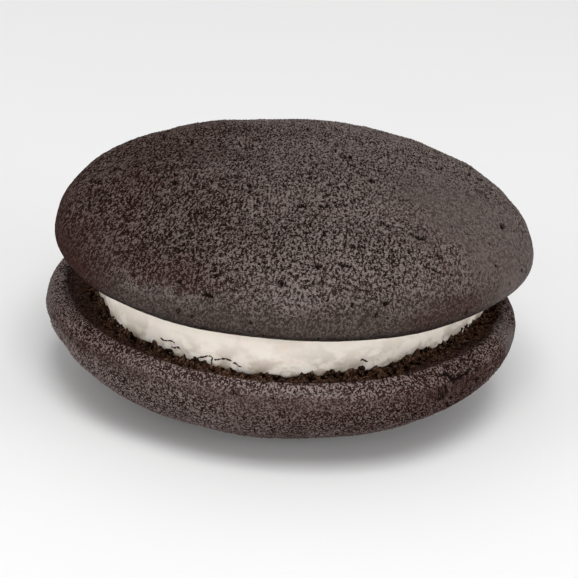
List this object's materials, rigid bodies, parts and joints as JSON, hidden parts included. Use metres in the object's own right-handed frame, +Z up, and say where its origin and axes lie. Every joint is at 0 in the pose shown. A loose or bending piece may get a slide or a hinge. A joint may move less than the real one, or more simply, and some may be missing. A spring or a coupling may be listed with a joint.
{
  "type": "whoopie pie",
  "caption": "Whoopie pie: two soft domed chocolate cakes with a thick layer of white cream between them, a sweet snack held in one hand.",
  "frame": {"origin": "centre of the pie's box, at the level of the flat spot that it rests on", "axes": "+Z up through both cakes, +X to the right and -Y towards the side of the pie seen from the front"},
  "size_m": [0.0914, 0.0898, 0.0454],
  "materials": {
    "chocolate_cake": "soft matt cake crust with fine pores",
    "white_cream": "smooth satin whipped cream"
  },
  "bodies": {
    "root": {"cake_top": "chocolate_cake", "filling": "white_cream", "cake_bottom": "chocolate_cake"}
  },
  "joints": []
}
